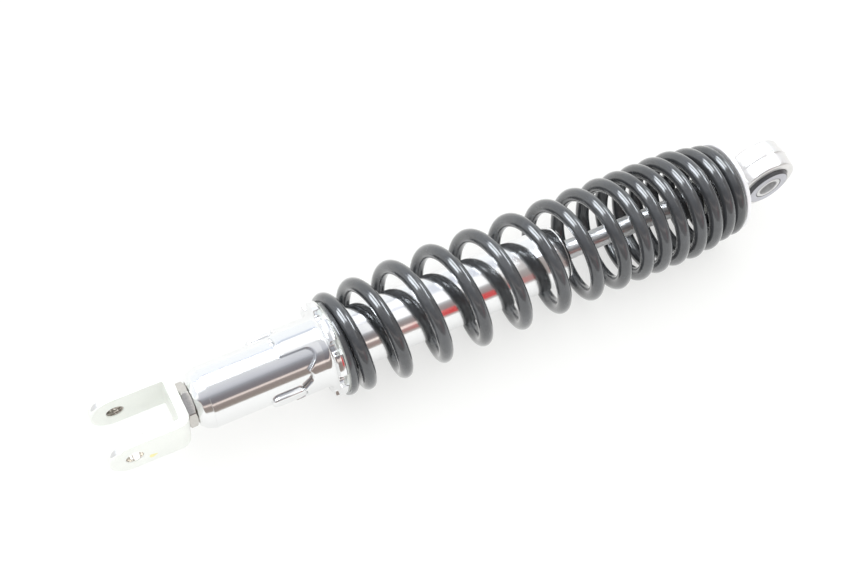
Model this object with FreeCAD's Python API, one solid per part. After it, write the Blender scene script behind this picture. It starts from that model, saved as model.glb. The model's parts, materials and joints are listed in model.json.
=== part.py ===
"""Rear shock absorber of a small motorcycle: twin-tube damper, stepped preload adjuster and open coil spring.

Millimetres. X runs along the shock from the fork end to the eye end, Y along both bolts, Z up.
The origin is the centre of the fork end's bolt holes.
"""

import FreeCAD
import Part
import math
import os

V = FreeCAD.Vector
X_AXIS = V(1, 0, 0)
Y_AXIS = V(0, 1, 0)

# Overall
EYE_TO_FORK = 351.9      # between the two bolt centres
RUN = 0.04               # radial running clearance on the rod and the bush sleeve

# Fork end
BOLT_HOLE_R = 4.1        # M8 bolt
PLATE = 4.5              # thickness of the bent plate
FORK_GAP = 20.0          # between the ears
FORK_HEIGHT = 23.0       # of the plate, along Z
BRIDGE_END = 27.8        # outer face of the bridge
STUD_R = 6.0
LOCK_NUT_AF = 19.0
NUT_TURN = 24.0          # degrees the lock nut sits away from square

# Damper tube
TUBE_R = 15.0
TUBE_WALL = 1.5
TUBE_START = 32.4
TUBE_END = 229.0
FLOOR_X = TUBE_START + TUBE_WALL
INNER_R = 10.0           # bore of the inner cylinder
ROD_R = 5.0
ROD_END = 337.5

# Preload adjuster
CAM_STEPS = 5
CAM_ANGLE = 34.0         # degrees from one seat to the next
CAM_RISE = 3.65          # along X from one seat to the next
LUG_END = 83.0           # end of the stop lugs, where the cam rests
LUG_LENGTH = 17.3
LUG_WIDTH = 7.0
LUG_ANGLE = 93.0         # degrees of the first lug from +Z towards -Y
SLEEVE_IN = 15.3
SLEEVE_OUT = 17.5
SLEEVE_START = 74.5
FLANGE_R = 23.5
FLANGE_BACK = 97.6
FLANGE_FACE = 101.2
SPANNER_NOTCHES = 8
NOTCH_ANGLE = 28.5       # degrees of the first notch from +Z towards -Y

# Spring
WIRE_R = 3.5
COIL_R = 25.0            # mean radius of the body of the spring
END_COIL_R = 21.6        # mean radius of the closed ends
SPRING_START = 101.8
SPRING_END = 327.0
SPRING_PHASE = -65.0     # degrees from +Z towards -Y of the coil stations below

# Eye end
EYE_R = 17.6             # at the casting's parting line
EYE_FACE_R = 16.7        # at its faces
EYE_WIDTH = 17.2
RUBBER_R = 12.5
RUBBER_FACE_R = 11.6     # where the bush stands proud of the eye it narrows to this
RUBBER_WIDTH = 20.8
SLEEVE_PIN_R = 5.1       # M10 bolt
SLEEVE_PIN_OUT = 7.0
SLEEVE_PIN_LENGTH = 21.0
SEAT_R = 24.1


def cyl(r, x0, x1):
    """A round bar along X."""
    return Part.makeCylinder(r, x1 - x0, V(x0, 0, 0), X_AXIS)


def ring(r_in, r_out, x0, x1):
    """A plain ring along X."""
    return cyl(r_out, x0, x1).cut(cyl(r_in, x0 - 1, x1 + 1))


def around(r, degrees, x=0.0):
    """The point at a radius and an angle from +Z towards -Y."""
    a = math.radians(degrees)
    return V(x, -r * math.sin(a), r * math.cos(a))


def turned(shape, degrees):
    """A copy of a shape turned about the shock's axis, from +Z towards -Y."""
    copy = shape.copy()
    copy.rotate(V(0, 0, 0), X_AXIS, degrees)
    return copy


def rounded_outline(corners):
    """A closed wire in the XY plane through (x, y, corner radius) points."""
    count = len(corners)
    starts, ends, middles = [], [], []
    for i, (x, y, radius) in enumerate(corners):
        here = V(x, y, 0)
        back = V(*corners[i - 1][:2], 0).sub(here).normalize()
        ahead = V(*corners[(i + 1) % count][:2], 0).sub(here).normalize()
        half = back.getAngle(ahead) / 2
        reach = radius / math.tan(half) if radius else 0
        inward = back.add(ahead)
        starts.append(here.add(back * reach))
        ends.append(here.add(ahead * reach))
        if radius:
            inward.normalize()
            middles.append(here.add(inward * (radius / math.sin(half) - radius)))
        else:
            middles.append(None)
    edges = []
    for i in range(count):
        if middles[i]:
            edges.append(Part.Arc(starts[i], middles[i], ends[i]).toShape())
        following = starts[(i + 1) % count]
        if ends[i].distanceToPoint(following) > 1e-6:
            edges.append(Part.LineSegment(ends[i], following).toShape())
    return Part.Wire(edges)


def lathe(corners):
    """A solid turned about X from (x, radius) or (x, radius, corner radius) points."""
    full = [tuple(c) + (0,) * (3 - len(c)) for c in corners]
    face = Part.Face(rounded_outline(full))
    return face.revolve(V(0, 0, 0), X_AXIS, 360)


def hexagon(across_flats, x0, x1, bore, turn=0.0):
    """A hexagon nut along X, its corners turned down at both ends."""
    corner = across_flats / math.sqrt(3)
    points = [around(corner, 30 + 60 * i + turn, x0) for i in range(7)]
    body = Part.Face(Part.makePolygon(points)).extrude(V(x1 - x0, 0, 0))
    drop = (corner - across_flats / 2) * 0.58
    flat = across_flats / 2 - 0.2
    crown = lathe([
        (x0, 0), (x0, flat), (x0 + drop, corner + 0.1),
        (x1 - drop, corner + 0.1), (x1, flat), (x1, 0),
    ])
    return body.common(crown).cut(cyl(bore, x0 - 1, x1 + 1))


def fork():
    """The bent plate that straddles the mounting lug."""
    inside = FORK_GAP / 2
    outside = inside + PLATE
    tip = -FORK_HEIGHT / 2
    outline = rounded_outline([
        (tip, -outside, 0), (BRIDGE_END, -outside, 5.5), (BRIDGE_END, outside, 5.5), (tip, outside, 0),
        (tip, inside, 0), (BRIDGE_END - PLATE, inside, 1), (BRIDGE_END - PLATE, -inside, 1), (tip, -inside, 0),
    ])
    plate = Part.Face(outline).extrude(V(0, 0, FORK_HEIGHT))
    plate.translate(V(0, 0, -FORK_HEIGHT / 2))
    half = FORK_HEIGHT / 2
    round_end = Part.makeCylinder(half, 4 * half, V(0, -2 * half, 0), Y_AXIS)
    straight = Part.makeBox(BRIDGE_END, 4 * half, 2 * half, V(0, -2 * half, -half))
    plate = plate.common(round_end.fuse(straight))
    plate = plate.cut(Part.makeCylinder(BOLT_HOLE_R, 4 * half, V(0, -2 * half, 0), Y_AXIS))
    return plate.cut(cyl(STUD_R, 0, BRIDGE_END + 1))


def base_plug():
    """The plug closing the damper tube, in one piece with the stud that holds the fork."""
    bore = TUBE_R - TUBE_WALL
    inner_face = BRIDGE_END - PLATE
    return lathe([
        (inner_face, 0), (inner_face, STUD_R), (TUBE_START, STUD_R), (TUBE_START, 8), (FLOOR_X, 8), (FLOOR_X, 9.4),
        (35.7, 12.25), (39.2, bore), (44, bore), (44, 11.5), (41, 11.5), (41, 8), (38, 5), (38, 0),
    ])


def outer_tube():
    """The chromed tube, spun over the plug at one end and rolled over the seal at the other."""
    bore = TUBE_R - TUBE_WALL
    return lathe([
        (TUBE_START, 8), (TUBE_START, 10.8, 0.8), (35.0, 13.6, 1.5), (38.9, TUBE_R), (TUBE_END, TUBE_R, 3.4),
        (TUBE_END, 10.5), (TUBE_END - 1.6, 10.5), (TUBE_END - 1.6, bore, 1.9), (39.2, bore), (35.7, 12.25),
        (FLOOR_X, 9.4), (FLOOR_X, 8),
    ])


def stop_lugs():
    """Two pressed lugs spot-welded on the tube, which carry the adjuster."""
    half = LUG_WIDTH / 2
    x0 = LUG_END - LUG_LENGTH + half
    x1 = LUG_END - half
    bar = Part.makeBox(x1 - x0, LUG_WIDTH, 8, V(x0, -half, 12))
    for x in (x0, x1):
        bar = bar.fuse(Part.makeCylinder(half, 8, V(x, 0, 12)))
    lug = bar.cut(cyl(TUBE_R, x0 - 9, x1 + 9)).common(cyl(SLEEVE_OUT - 0.1, x0 - 9, x1 + 9))
    for x in (x0 + 0.8, x1 - 0.8):
        lug = lug.cut(Part.makeSphere(2.2, V(x, 0, SLEEVE_OUT + 1.2)))
    return Part.makeCompound([turned(lug, LUG_ANGLE), turned(lug, LUG_ANGLE + 180)])


def inner_cylinder():
    """The pressure tube the piston runs in."""
    return ring(INNER_R, INNER_R + 1.5, 44.0, 216.0)


def base_valve():
    """The foot valve body between the inner cylinder and the plug, with its flow holes."""
    body = lathe([(41, 2), (41, 11.4), (44, 11.4), (44, INNER_R - 0.02), (49, INNER_R - 0.02), (49, 2)])
    for i in range(6):
        p = around(6.5, 60 * i)
        body = body.cut(Part.makeCylinder(1.1, 12, V(39, p.y, p.z), X_AXIS))
    return body


def base_valve_shims():
    """Two thin spring-steel discs that cover the foot valve's holes."""
    return Part.makeCompound([ring(2.0, 8.4, 49.0, 49.3), ring(2.0, 7.4, 49.3, 49.6)])


def base_valve_rivet():
    """The rivet through the foot valve and its discs."""
    return lathe([(39.6, 0), (39.6, 3.6), (41, 3.6), (41, 2), (49.6, 2), (49.6, 3.6), (51, 3.0), (51, 0)])


def rod_guide():
    """The guide that centres the rod and the inner cylinder in the outer tube."""
    bore = TUBE_R - TUBE_WALL
    body = lathe([
        (213.2, 6), (213.2, INNER_R - 0.02), (216, INNER_R - 0.02), (216, bore - 0.02), (221, bore - 0.02),
        (221, 6),
    ])
    body = body.cut(ring(bore - 1.7, bore + 1, 217.5, 219.5))
    return body.cut(Part.makeCylinder(0.8, 8, around(11.8, 40, 215), X_AXIS))


def guide_bushing():
    return ring(ROD_R + RUN, 6.0, 213.2, 221.0)


def guide_o_ring():
    """The rubber ring in the guide's groove."""
    return Part.makeTorus(TUBE_R - TUBE_WALL - 0.86, 0.84, V(218.5, 0, 0), X_AXIS)


def oil_seal():
    """The rubber seal on the rod, with its garter-spring groove."""
    bore = TUBE_R - TUBE_WALL - 0.02
    return lathe([
        (221, 8.0), (221, bore), (225.4, bore), (225.4, ROD_R + RUN), (223.2, ROD_R + RUN), (221.4, ROD_R + 0.6),
        (221.2, 6.6), (222.6, 7.2), (222.6, 8.0),
    ])


def seal_cap():
    """The steel washer the tube's end is rolled over."""
    bore = TUBE_R - TUBE_WALL
    return lathe([(225.4, 7.5), (225.4, bore - 0.02), (227.4, bore - 0.02, 1.98), (227.4, 7.5)])


def dust_wiper():
    """The rubber lip where the rod leaves the tube."""
    return lathe([(225.4, ROD_R + RUN), (225.4, 7.48), (227.4, 7.48), (229.6, ROD_R + 0.9), (229.6, ROD_R + RUN)])


def preload_adjuster():
    """The stepped sleeve: two five-step cams at the fork end, a flange with spanner notches at the spring end."""
    sleeve = lathe([
        (SLEEVE_START, SLEEVE_IN), (SLEEVE_START, SLEEVE_OUT), (FLANGE_BACK, SLEEVE_OUT, 2.6),
        (FLANGE_BACK, FLANGE_R), (FLANGE_FACE, FLANGE_R), (FLANGE_FACE, SLEEVE_IN),
    ])
    for half_turn in (0, 180):
        for step in range(CAM_STEPS):
            away = step - CAM_STEPS // 2
            sleeve = sleeve.cut(cam_cutter(-CAM_RISE * away, LUG_ANGLE + CAM_ANGLE * away + half_turn))
    notch = Part.makeBox(9, 6.6, 8, V(FLANGE_BACK - 3, -3.3, 19.6))
    for i in range(SPANNER_NOTCHES):
        sleeve = sleeve.cut(turned(notch, NOTCH_ANGLE + 360 / SPANNER_NOTCHES * i))
    return sleeve


def cam_cutter(shift, angle):
    """The shape punched out of the sleeve for one seat of the cam.

    The sleeve follows a straight rise, so its crests stay clear of the lugs all the way between the seats.
    """
    slope = -CAM_RISE / (math.radians(CAM_ANGLE) * (SLEEVE_IN + SLEEVE_OUT) / 2)
    outline = []
    for across, above in ((-5.6, 0.45), (-2.6, 0.85), (2.6, 0.85), (5.6, 0.45)):
        outline.append(V(LUG_END + shift - slope * across + above, across, 10))
    outline.append(V(SLEEVE_START - 8, 5.6, 10))
    outline.append(V(SLEEVE_START - 8, -5.6, 10))
    outline.append(outline[0])
    return turned(Part.Face(Part.makePolygon(outline)).extrude(V(0, 0, 12)), angle)


def spring_stations():
    """(turns from the first station, x of the wire's centre) along the spring, at one fixed angle."""
    tops = (106.6, 122.1, 142.3, 164.0, 185.6, 208.3, 228.7, 245.7, 260.5, 271.7, 282.5, 293.2, 303.4, 313.2)
    first = [(-0.92, SPRING_START - 1.2), (-0.5, SPRING_START + 2.0)]
    last = [(13.5, SPRING_END - 9.6), (14, SPRING_END - 5.6), (14.75, SPRING_END - 0.5)]
    return first + list(enumerate(tops)) + last


def spring_path():
    """Points along the middle of the wire, (x, radius, degrees)."""
    stations = spring_stations()
    turns = [s[0] for s in stations]
    first, last = turns[0], turns[-1]
    points = []
    steps = 16
    for i in range(int((last - first) * steps) + 1):
        t = first + i / steps
        x = smooth_through(stations, t)
        near_end = min(t - first, last - t)
        share = min(max((near_end - 0.4) / 2.8, 0), 1)
        share = share * share * (3 - 2 * share)
        points.append((x, END_COIL_R + (COIL_R - END_COIL_R) * share, SPRING_PHASE + 360 * t))
    return points


def smooth_through(stations, t):
    """A monotone cubic through the stations."""
    n = len(stations)
    slopes = []
    for i in range(n - 1):
        slopes.append((stations[i + 1][1] - stations[i][1]) / (stations[i + 1][0] - stations[i][0]))
    i = 0
    while i < n - 2 and t > stations[i + 1][0]:
        i += 1

    def tangent(k):
        if k == 0:
            return slopes[0]
        if k == n - 1:
            return slopes[-1]
        return 2 * slopes[k - 1] * slopes[k] / (slopes[k - 1] + slopes[k])

    h = stations[i + 1][0] - stations[i][0]
    s = min(max((t - stations[i][0]) / h, 0), 1)
    a, b = stations[i][1], stations[i + 1][1]
    return (
        (2 * s**3 - 3 * s**2 + 1) * a + (s**3 - 2 * s**2 + s) * h * tangent(i)
        + (3 * s**2 - 2 * s**3) * b + (s**3 - s**2) * h * tangent(i + 1)
    )


def main_spring():
    """The progressive coil spring, its closed ends ground flat."""
    path = [around(r, degrees, x) for x, r, degrees in spring_path()]
    curve = Part.BSplineCurve()
    curve.interpolate(path)
    edge = curve.toShape()
    first = curve.FirstParameter
    circle = Part.Circle(curve.value(first), curve.tangent(first)[0], WIRE_R).toShape()
    spring = Part.Wire([edge]).makePipeShell([Part.Wire([circle])], True, True)
    keep = cyl(COIL_R * 2, SPRING_START, SPRING_END)
    return spring.common(keep)


def spring_seat_washer():
    """The thin washer that lets the adjuster turn under the spring."""
    return ring(18.4, 23.2, FLANGE_FACE, SPRING_START)


def upper_spring_seat():
    """The pressed disc that carries the spring at the eye end."""
    back = SPRING_END + 2.6
    return lathe([
        (SPRING_END, 16.6), (SPRING_END, SEAT_R, 0.6), (back, SEAT_R, 0.6), (back, 8.15), (SPRING_END - 6, 8.15),
        (SPRING_END - 6, 10.2), (SPRING_END - 2.4, 10.2), (SPRING_END - 2.4, 16.0, 0.8),
    ])


def piston_rod():
    """The chromed rod, stepped down for the piston and threaded into the eye."""
    return lathe([
        (186, 0), (186, 3.3), (186.7, 4), (206, 4), (206, ROD_R), (ROD_END - 0.6, ROD_R),
        (ROD_END, ROD_R - 0.6), (ROD_END, 0),
    ])


def piston():
    """The sintered piston with its flow holes and ring groove."""
    body = ring(4.0, INNER_R - 0.08, 195.0, 205.4)
    body = body.cut(ring(INNER_R - 1.0, INNER_R + 1, 198.0, 202.4))
    for i in range(6):
        body = body.cut(Part.makeCylinder(1.0, 20, around(6.4, 30 + 60 * i, 190), X_AXIS))
    return body


def piston_ring():
    return ring(INNER_R - 1.0, INNER_R - RUN, 198.0, 202.4)


def piston_shims():
    """Thin discs on both faces of the piston that meter the oil."""
    return Part.makeCompound([ring(4.0, 8.6, 205.4, 205.7), ring(4.0, 7.0, 205.7, 206.0),
                              ring(4.0, 8.6, 194.7, 195.0), ring(4.0, 7.0, 194.4, 194.7)])


def piston_nut():
    return hexagon(13.0, 187.6, 194.4, 4.0)


def rebound_stop():
    """The collar and cushion that meet the guide at full extension."""
    return lathe([(207.5, ROD_R), (207.5, 8.4, 0.8), (213.1, 8.4, 0.8), (213.1, ROD_R)])


def bump_stop():
    """The rubber cone that meets the tube at full compression."""
    return lathe([(299.8, ROD_R), (299.8, 7.2, 1), (303, 9.4, 1), (311.8, 9.4), (311.8, ROD_R)])


def bump_stop_cup():
    return lathe([(311.8, ROD_R), (311.8, 9.4), (310.6, 9.4), (310.6, 10.0), (313, 10.0, 0.6), (313, ROD_R)])


def eye_lock_nut():
    return hexagon(17.0, 313.0, 319.0, ROD_R)


def upper_eye():
    """The aluminium casting: a slightly barrelled ring for the bush and a neck screwed on the rod."""
    eye_x = EYE_TO_FORK
    half = EYE_WIDTH / 2
    centre = V(eye_x, 0, 0)
    eye = Part.makeCone(EYE_R, EYE_FACE_R, half, centre, Y_AXIS)
    eye = eye.fuse(Part.makeCone(EYE_R, EYE_FACE_R, half, centre, V(0, -1, 0)))
    back = SPRING_END + 2.6
    neck = lathe([(319, 0), (319, 8), (back, 8), (back, 11.5), (333, 8.6), (342, 7.6), (342, 0)])
    flats = Part.makeBox(60, 40, 18, V(300, -20, -9))
    web = Part.makeBox(14, 14, 18, V(back, -7, -9))
    eye = eye.fuse(neck.common(flats)).fuse(web)
    eye = eye.cut(Part.makeCylinder(RUBBER_R, 40, V(eye_x, -20, 0), Y_AXIS))
    for side in (-1, 1):
        recess = Part.makeCone(RUBBER_R + 0.6, RUBBER_R, 0.6, V(eye_x, side * half, 0), V(0, -side, 0))
        eye = eye.cut(recess)
    return eye.cut(cyl(ROD_R, 300, ROD_END)).removeSplitter()


def rubber_bush():
    """The rubber bush pressed into the eye, standing proud of it on both sides."""
    proud = (RUBBER_WIDTH - EYE_WIDTH) / 2
    bush = Part.makeCylinder(RUBBER_R, EYE_WIDTH, V(EYE_TO_FORK, -EYE_WIDTH / 2, 0), Y_AXIS)
    for side in (-1, 1):
        root = V(EYE_TO_FORK, side * EYE_WIDTH / 2, 0)
        bush = bush.fuse(Part.makeCone(RUBBER_R - 0.3, RUBBER_FACE_R, proud, root, V(0, side, 0)))
    bush = bush.cut(Part.makeCylinder(SLEEVE_PIN_OUT + RUN, 40, V(EYE_TO_FORK, -20, 0), Y_AXIS))
    for side in (-1, 1):
        groove = Part.makeTorus(8.4, 0.5, V(EYE_TO_FORK, side * RUBBER_WIDTH / 2, 0), Y_AXIS)
        bush = bush.cut(groove)
    return bush.removeSplitter()


def eye_sleeve():
    """The steel sleeve the bolt clamps, which turns a little in the rubber."""
    start = V(EYE_TO_FORK, -SLEEVE_PIN_LENGTH / 2, 0)
    sleeve = Part.makeCylinder(SLEEVE_PIN_OUT, SLEEVE_PIN_LENGTH, start, Y_AXIS)
    return sleeve.cut(Part.makeCylinder(SLEEVE_PIN_R, 40, V(EYE_TO_FORK, -20, 0), Y_AXIS))


def lock_nut():
    return hexagon(LOCK_NUT_AF, BRIDGE_END, TUBE_START, STUD_R, NUT_TURN)


PIECES = {
    "clevis": fork,
    "clevis_lock_nut": lock_nut,
    "base_plug": base_plug,
    "outer_tube": outer_tube,
    "stop_lugs": stop_lugs,
    "inner_cylinder": inner_cylinder,
    "base_valve_body": base_valve,
    "base_valve_shims": base_valve_shims,
    "base_valve_rivet": base_valve_rivet,
    "rod_guide": rod_guide,
    "guide_bushing": guide_bushing,
    "guide_o_ring": guide_o_ring,
    "oil_seal": oil_seal,
    "seal_cap": seal_cap,
    "dust_wiper": dust_wiper,
    "main_spring": main_spring,
    "spring_seat_washer": spring_seat_washer,
    "preload_adjuster": preload_adjuster,
    "upper_spring_seat": upper_spring_seat,
    "piston_rod": piston_rod,
    "piston": piston,
    "piston_ring": piston_ring,
    "piston_shims": piston_shims,
    "piston_nut": piston_nut,
    "rebound_stop": rebound_stop,
    "bump_stop": bump_stop,
    "bump_stop_cup": bump_stop_cup,
    "eye_lock_nut": eye_lock_nut,
    "upper_eye": upper_eye,
    "rubber_bush": rubber_bush,
    "eye_sleeve": eye_sleeve,
}

os.makedirs("parts", exist_ok=True)
for name, make in PIECES.items():
    shape = make()
    if not shape.isValid():
        print("not valid:", name)
    print(name, len(shape.Solids), round(shape.Volume, 1))
    shape.exportStep("parts/" + name + ".step")
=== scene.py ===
"""Visual model of the rear shock absorber, built over its CAD frame.

Metres. X runs along the shock from the fork to the eye, Y along both bolts, Z up.
Shapes are written in millimetres and scaled when their mesh is made. Angles round the
shock are in degrees from +Z towards -Y.
"""

import json
import math

import bmesh
import bpy
from mathutils import Matrix, Vector


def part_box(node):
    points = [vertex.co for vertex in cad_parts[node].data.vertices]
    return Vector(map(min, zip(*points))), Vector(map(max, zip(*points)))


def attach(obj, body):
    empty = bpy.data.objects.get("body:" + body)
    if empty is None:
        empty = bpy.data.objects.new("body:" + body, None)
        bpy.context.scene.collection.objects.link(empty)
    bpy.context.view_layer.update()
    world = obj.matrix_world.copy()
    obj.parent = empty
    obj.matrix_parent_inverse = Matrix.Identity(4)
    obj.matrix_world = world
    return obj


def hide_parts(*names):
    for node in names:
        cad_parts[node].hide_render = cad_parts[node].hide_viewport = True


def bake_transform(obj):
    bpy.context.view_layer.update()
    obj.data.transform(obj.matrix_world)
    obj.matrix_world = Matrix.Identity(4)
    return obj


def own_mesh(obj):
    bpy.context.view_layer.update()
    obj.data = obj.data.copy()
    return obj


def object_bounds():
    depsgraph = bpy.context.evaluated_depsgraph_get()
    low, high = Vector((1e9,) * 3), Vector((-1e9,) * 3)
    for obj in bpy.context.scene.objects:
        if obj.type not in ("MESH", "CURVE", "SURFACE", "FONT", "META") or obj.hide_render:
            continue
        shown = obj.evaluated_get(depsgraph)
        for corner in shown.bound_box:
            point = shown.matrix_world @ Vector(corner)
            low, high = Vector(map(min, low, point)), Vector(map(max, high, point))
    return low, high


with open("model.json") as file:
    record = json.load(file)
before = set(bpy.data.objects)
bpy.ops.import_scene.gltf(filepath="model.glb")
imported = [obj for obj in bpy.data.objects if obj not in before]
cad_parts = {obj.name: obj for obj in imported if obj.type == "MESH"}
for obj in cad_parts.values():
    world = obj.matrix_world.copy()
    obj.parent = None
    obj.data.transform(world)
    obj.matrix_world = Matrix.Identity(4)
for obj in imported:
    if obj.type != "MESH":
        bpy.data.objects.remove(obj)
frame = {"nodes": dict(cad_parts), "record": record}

CAD_LOW, CAD_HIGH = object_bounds()
MM = 0.001



def cad(node, end, axis):
    """One limit of a CAD node's box, in millimetres: end 0 is low and 1 is high."""
    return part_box(node)[end][axis] / MM


# Sizes read from the CAD's boxes
EYE_X = (cad("eye_sleeve", 0, 0) + cad("eye_sleeve", 1, 0)) / 2
FORK_TIP = cad("clevis", 0, 0)
BRIDGE_END = cad("clevis", 1, 0)
FORK_OUT = cad("clevis", 1, 1)
FORK_HALF = cad("clevis", 1, 2)
TUBE_START = cad("outer_tube", 0, 0)
TUBE_END = cad("outer_tube", 1, 0)
TUBE_R = cad("outer_tube", 1, 2)
SLEEVE_START = cad("preload_adjuster", 0, 0)
FLANGE_FACE = cad("preload_adjuster", 1, 0)
SPRING_START = cad("main_spring", 0, 0)
SPRING_END = cad("main_spring", 1, 0)
LUG_START = cad("stop_lugs", 0, 0)
LUG_END = cad("stop_lugs", 1, 0)
ROD_START = cad("piston_rod", 0, 0)
ROD_END = cad("piston_rod", 1, 0)
SEAT_R = cad("upper_spring_seat", 1, 2)
SEAT_BACK = cad("upper_spring_seat", 1, 0)
RUBBER_R = cad("rubber_bush", 1, 2)
EYE_R = cad("upper_eye", 1, 2)
FLOOR_Z = CAD_LOW[2] - 0.0002

# Sizes that the boxes don't give, in mm and degrees
PLATE = 4.5
BOLT_HOLE_R = 4.1
LINER_R = 4.09           # the outside of the thin meshes that line the fork's holes
TUBE_WALL = 1.5
SLEEVE_IN = 15.3
SLEEVE_OUT = 17.5
FLANGE_BACK = 97.6
FLANGE_R = 23.5
FLANGE_FILLET = 2.7
LUG_ANGLE = 93.0
CAM_ANGLE = 34.0
CAM_RISE = 3.65
CAM_NOTCH_R = 4.25
NOTCH_ANGLE = 28.5
NOTCH_PITCH = 45.0
NOTCH_HALF = 3.4
NOTCH_DEPTH = 3.7
WIRE_R = 3.5
COIL_R = 25.0
END_COIL_R = 21.6
SPRING_PHASE = -65.0
SPLIT_TURN = 2.75        # where the spring's two meshes meet, on its underside
ROD_R = 5.0
ROD_NUT_START = 313.0
EYE_NECK_START = 319.0
EYE_FACE_R = 16.7
EYE_HALF = 8.6
RUBBER_FACE_R = 11.6
RELIEF = 0.0004          # the depth of the finest texture, in metres
GLARE = 11.0             # the brightest reflected panel


# ---------------------------------------------------------------- meshes

def around(r, degrees, x=0.0):
    a = math.radians(degrees)
    return Vector((x, -r * math.sin(a), r * math.cos(a)))


def link(name, mesh):
    obj = bpy.data.objects.new(name, mesh)
    bpy.context.scene.collection.objects.link(obj)
    return obj


def mesh_from(name, points, faces, sharp=38.0):
    """A smooth-shaded mesh object from points in millimetres."""
    mesh = bpy.data.meshes.new(name)
    mesh.from_pydata([Vector(p) * MM for p in points], [], faces)
    mesh.validate()
    work = bmesh.new()
    work.from_mesh(mesh)
    bmesh.ops.remove_doubles(work, verts=work.verts, dist=1e-7)
    bmesh.ops.recalc_face_normals(work, faces=work.faces)
    work.to_mesh(mesh)
    work.free()
    shade(mesh, sharp)
    return link(name, mesh)


def shade(mesh, sharp):
    mesh.shade_smooth()
    mesh.set_sharp_from_angle(angle=math.radians(sharp))


def loft(name, rings, closed_rings=True, caps=False, sharp=38.0):
    """Quads between neighbouring closed rings of points.

    closed_rings joins the last ring to the first, and caps close both ends.
    """
    count = len(rings[0])
    points = [p for r in rings for p in r]
    faces = []
    pairs = len(rings) if closed_rings else len(rings) - 1
    for i in range(pairs):
        a = i * count
        b = ((i + 1) % len(rings)) * count
        for j in range(count):
            k = (j + 1) % count
            faces.append((a + j, a + k, b + k, b + j))
    if caps:
        faces.append(tuple(range(count)))
        faces.append(tuple(range((len(rings) - 1) * count, len(rings) * count))[::-1])
    return mesh_from(name, points, faces, sharp)


def rounded(corners, steps=5):
    """A closed polyline from (x, y) or (x, y, corner radius) points."""
    out = []
    count = len(corners)
    for i, corner in enumerate(corners):
        here = Vector(corner[:2])
        radius = corner[2] if len(corner) > 2 else 0
        if not radius:
            out.append(tuple(here))
            continue
        back = (Vector(corners[i - 1][:2]) - here).normalized()
        ahead = (Vector(corners[(i + 1) % count][:2]) - here).normalized()
        half = back.angle(ahead) / 2
        reach = radius / math.tan(half)
        centre = here + (back + ahead).normalized() * (radius / math.sin(half))
        first = here + back * reach - centre
        last = here + ahead * reach - centre
        sweep = first.angle_signed(last)
        for s in range(steps + 1):
            spot = first.copy()
            spot.rotate(Matrix.Rotation(-sweep * s / steps, 2))
            out.append(tuple(centre + spot))
    return out


def lathe(name, corners, segments=144, sharp=38.0, wave=None):
    """A closed ring turned about X from (x, radius[, corner radius]) points.

    wave(x, r, degrees) may change a radius.
    """
    profile = rounded(corners)
    rings = []
    for j in range(segments):
        degrees = 360 * j / segments
        ring = []
        for x, r in profile:
            ring.append(around(wave(x, r, degrees) if wave else r, degrees, x))
        rings.append(ring)
    return loft(name, rings, sharp=sharp)


def about_y(obj, x):
    """Moves a piece turned about X to the line along Y at x, its +X end at +Y."""
    turn = Matrix.Translation((x * MM, 0, 0)) @ Matrix.Rotation(math.radians(90), 4, "Z")
    obj.data.transform(turn)
    return obj


def hexagon(name, flats, x0, x1, bore, turn=0.0):
    """A hexagon nut with turned corners and a countersunk bore."""
    rings = []
    segments = 180
    face = flats / 2 - 0.25
    for j in range(segments):
        degrees = 360 * j / segments
        off = (degrees + 30) % 60 - 30
        r = flats / 2 / math.cos(math.radians(off))
        r = min(r, flats / math.sqrt(3) - 0.12)
        drop = (r - face) * 0.55
        ring = rounded([
            (x0, bore + 0.5), (x0, face, 0.1), (x0 + drop, r, 0.12),
            (x1 - drop, r, 0.12), (x1, face, 0.1), (x1, bore + 0.5),
            (x1 - 0.5, bore), (x0 + 0.5, bore),
        ], 3)
        rings.append([around(radius, degrees + turn, x) for x, radius in ring])
    return loft(name, rings, sharp=24)


def extrude(name, outline, low, high):
    """A prism of an outline in the XY plane between two heights."""
    points = [(x, y, low) for x, y in outline] + [(x, y, high) for x, y in outline]
    n = len(outline)
    faces = [tuple(range(n))[::-1], tuple(range(n, 2 * n))]
    faces += [(i, (i + 1) % n, n + (i + 1) % n, n + i) for i in range(n)]
    return mesh_from(name, points, faces)


def bar(name, r, start, end, segments=96):
    """A round bar between two points, in millimetres."""
    start, end = Vector(start), Vector(end)
    turn = (end - start).to_track_quat("Z", "Y").to_matrix()
    rings = []
    for p in (start, end):
        ring = []
        for j in range(segments):
            a = 2 * math.pi * j / segments
            ring.append(p + turn @ Vector((r * math.cos(a), r * math.sin(a), 0)))
        rings.append(ring)
    return loft(name, rings, closed_rings=False, caps=True)


def freeze(obj):
    """Applies the object's modifiers."""
    bpy.context.view_layer.update()
    graph = bpy.context.evaluated_depsgraph_get()
    mesh = bpy.data.meshes.new_from_object(obj.evaluated_get(graph))
    obj.modifiers.clear()
    obj.data = mesh
    return obj


def carve(obj, tool, operation="DIFFERENCE"):
    """A boolean of one object with another, which is used up."""
    step = obj.modifiers.new("carve", "BOOLEAN")
    step.object = tool
    step.operation = operation
    step.solver = "EXACT"
    freeze(obj)
    bpy.data.objects.remove(tool)
    return obj


def soften(obj, width, segments=3, angle=32.0):
    """Rounds the piece's edges."""
    work = bmesh.new()
    work.from_mesh(obj.data)
    bmesh.ops.dissolve_limit(work, angle_limit=math.radians(0.5), verts=work.verts, edges=work.edges)
    work.to_mesh(obj.data)
    work.free()
    step = obj.modifiers.new("soften", "BEVEL")
    step.width = width * MM
    step.segments = segments
    step.limit_method = "ANGLE"
    step.angle_limit = math.radians(angle)
    step.harden_normals = True
    shade(obj.data, 60)
    return freeze(obj)


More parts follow.
